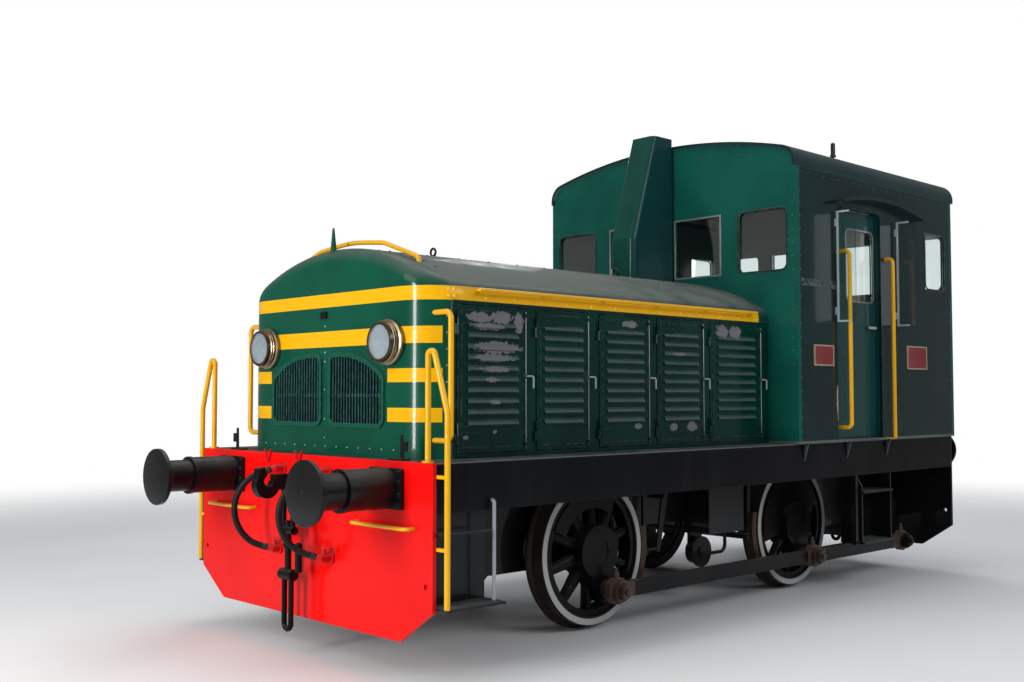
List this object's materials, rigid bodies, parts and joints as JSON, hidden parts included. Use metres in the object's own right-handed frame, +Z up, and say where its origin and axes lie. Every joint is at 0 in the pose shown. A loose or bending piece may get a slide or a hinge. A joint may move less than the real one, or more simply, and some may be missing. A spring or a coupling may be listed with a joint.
{
  "type": "two-axle diesel shunting locomotive",
  "caption": "Small rail shunting locomotive with a long bonnet, rear cab, spoked wheels joined by side rods to a jackshaft, opening bonnet and cab doors.",
  "frame": {"origin": "on the level of the wheel flanges' lowest points, midway between the buffer faces, on the centre line", "axes": "+X forward towards the bonnet end, +Y to the left, +Z up"},
  "size_m": [7.386, 3.02, 3.8362],
  "materials": {
    "green_paint": "gloss",
    "grey_roof": "dusty matt",
    "black_paint": "satin",
    "red_paint": "gloss",
    "yellow_paint": "gloss",
    "wheel_iron": "oiled",
    "tyre_steel": "worn",
    "rod_steel": "greasy",
    "lamp_brass": "aged",
    "lamp_glass": "clear",
    "window_glass": "clear",
    "hose_rubber": "matt"
  },
  "bodies": {
    "chassis": {"axleboxes": "black_paint", "bonnet_nose": "green_paint", "bonnet_rails": "yellow_paint", "bonnet_roof": "green_paint", "bonnet_side_frames": "green_paint", "brake_gear": "wheel_iron", "brake_hose_left": "hose_rubber", "brake_hose_right": "hose_rubber", "buffer_cases": "black_paint", "buffer_rams": "black_paint", "cab_floor": "black_paint", "cab_front_wall": "green_paint", "cab_glass": "window_glass", "cab_handrails": "yellow_paint", "cab_rear_wall": "green_paint", "cab_roof": "grey_roof", "cab_side_left": "green_paint", "cab_side_right": "green_paint", "canopies_and_deflectors": "black_paint", "deck_and_sills": "black_paint", "desk_and_seat": "grey_roof", "draw_gear": "wheel_iron", "engine_and_radiator": "black_paint", "exhaust_duct": "green_paint", "final_drive": "black_paint", "front_headstock": "red_paint", "headlamp_lenses": "lamp_glass", "headlamps": "lamp_brass", "headstock_fittings": "black_paint", "headstock_rails": "yellow_paint", "leaf_springs": "black_paint", "main_frame": "black_paint", "radiator_grilles": "black_paint", "rear_headstock": "black_paint", "roof_and_bonnet_fittings": "black_paint", "steps": "black_paint", "tool_boxes_and_reservoir": "black_paint"},
    "wheelset_front": {"front_axle_and_centres": "wheel_iron", "front_tyres": "tyre_steel", "front_crank_pins": "rod_steel"},
    "wheelset_rear": {"rear_axle_and_centres": "wheel_iron", "rear_tyres": "tyre_steel", "rear_crank_pins": "rod_steel"},
    "jackshaft_turning": {"jackshaft": "wheel_iron"},
    "rods_left": {"side_rods_left": "rod_steel"},
    "rods_right": {"side_rods_right": "rod_steel"},
    "cab_door_left_leaf": {"cab_door_left": "green_paint", "cab_door_glass_left": "window_glass"},
    "cab_door_right_leaf": {"cab_door_right": "green_paint", "cab_door_glass_right": "window_glass"},
    "bonnet_leaf_left_1": {"bonnet_door_left_1": "green_paint"},
    "bonnet_leaf_left_2": {"bonnet_door_left_2": "green_paint"},
    "bonnet_leaf_left_3": {"bonnet_door_left_3": "green_paint"},
    "bonnet_leaf_left_4": {"bonnet_door_left_4": "green_paint"},
    "bonnet_leaf_left_5": {"bonnet_door_left_5": "green_paint"},
    "bonnet_leaf_right_1": {"bonnet_door_right_1": "green_paint"},
    "bonnet_leaf_right_2": {"bonnet_door_right_2": "green_paint"},
    "bonnet_leaf_right_3": {"bonnet_door_right_3": "green_paint"},
    "bonnet_leaf_right_4": {"bonnet_door_right_4": "green_paint"},
    "bonnet_leaf_right_5": {"bonnet_door_right_5": "green_paint"}
  },
  "joints": [
    {"name": "wheelset_front_spin", "type": "hinge", "parent": "chassis", "child": "wheelset_front", "pos_m": [1.288, 0, 0.538], "axis": [0, 1, 0], "continuous": true},
    {"name": "wheelset_rear_spin", "type": "hinge", "parent": "chassis", "child": "wheelset_rear", "pos_m": [-1.174, 0, 0.538], "axis": [0, 1, 0], "continuous": true},
    {"name": "jackshaft_spin", "type": "hinge", "parent": "chassis", "child": "jackshaft_turning", "pos_m": [-2.668, 0, 0.538], "axis": [0, 1, 0], "continuous": true},
    {"name": "rods_left_pivot", "type": "hinge", "parent": "wheelset_front", "child": "rods_left", "pos_m": [1.21358, 0.956, 0.27846], "axis": [0, 1, 0], "continuous": true},
    {"name": "rods_right_pivot", "type": "hinge", "parent": "wheelset_front", "child": "rods_right", "pos_m": [1.02846, -0.956, 0.61242], "axis": [0, 1, 0], "continuous": true},
    {"name": "bonnet_door_left_1_hinge", "type": "hinge", "parent": "chassis", "child": "bonnet_leaf_left_1", "pos_m": [2.737, 1.068, 1.7], "axis": [0, 0, -1], "range_deg": [0, 110]},
    {"name": "bonnet_door_left_2_hinge", "type": "hinge", "parent": "chassis", "child": "bonnet_leaf_left_2", "pos_m": [2.078, 1.068, 1.7], "axis": [0, 0, -1], "range_deg": [0, 110]},
    {"name": "bonnet_door_left_3_hinge", "type": "hinge", "parent": "chassis", "child": "bonnet_leaf_left_3", "pos_m": [1.487, 1.068, 1.7], "axis": [0, 0, -1], "range_deg": [0, 110]},
    {"name": "bonnet_door_left_4_hinge", "type": "hinge", "parent": "chassis", "child": "bonnet_leaf_left_4", "pos_m": [0.883, 1.068, 1.7], "axis": [0, 0, -1], "range_deg": [0, 110]},
    {"name": "bonnet_door_left_5_hinge", "type": "hinge", "parent": "chassis", "child": "bonnet_leaf_left_5", "pos_m": [0.27, 1.068, 1.7], "axis": [0, 0, -1], "range_deg": [0, 110]},
    {"name": "cab_door_left_hinge", "type": "hinge", "parent": "chassis", "child": "cab_door_left_leaf", "pos_m": [-1.265, 1.214, 2.2], "axis": [0, 0, 1], "range_deg": [0, 85]},
    {"name": "bonnet_door_right_1_hinge", "type": "hinge", "parent": "chassis", "child": "bonnet_leaf_right_1", "pos_m": [2.737, -1.068, 1.7], "axis": [0, 0, 1], "range_deg": [0, 110]},
    {"name": "bonnet_door_right_2_hinge", "type": "hinge", "parent": "chassis", "child": "bonnet_leaf_right_2", "pos_m": [2.078, -1.068, 1.7], "axis": [0, 0, 1], "range_deg": [0, 110]},
    {"name": "bonnet_door_right_3_hinge", "type": "hinge", "parent": "chassis", "child": "bonnet_leaf_right_3", "pos_m": [1.487, -1.068, 1.7], "axis": [0, 0, 1], "range_deg": [0, 110]},
    {"name": "bonnet_door_right_4_hinge", "type": "hinge", "parent": "chassis", "child": "bonnet_leaf_right_4", "pos_m": [0.883, -1.068, 1.7], "axis": [0, 0, 1], "range_deg": [0, 110]},
    {"name": "bonnet_door_right_5_hinge", "type": "hinge", "parent": "chassis", "child": "bonnet_leaf_right_5", "pos_m": [0.27, -1.068, 1.7], "axis": [0, 0, 1], "range_deg": [0, 110]},
    {"name": "cab_door_right_hinge", "type": "hinge", "parent": "chassis", "child": "cab_door_right_leaf", "pos_m": [-1.265, -1.214, 2.2], "axis": [0, 0, -1], "range_deg": [0, 85]}
  ],
  "couplings": [
    {"joint": "wheelset_rear_spin", "follows": "wheelset_front_spin", "ratio": 1},
    {"joint": "jackshaft_spin", "follows": "wheelset_front_spin", "ratio": 1},
    {"joint": "rods_left_pivot", "follows": "wheelset_front_spin", "ratio": -1},
    {"joint": "rods_right_pivot", "follows": "wheelset_front_spin", "ratio": -1}
  ]
}
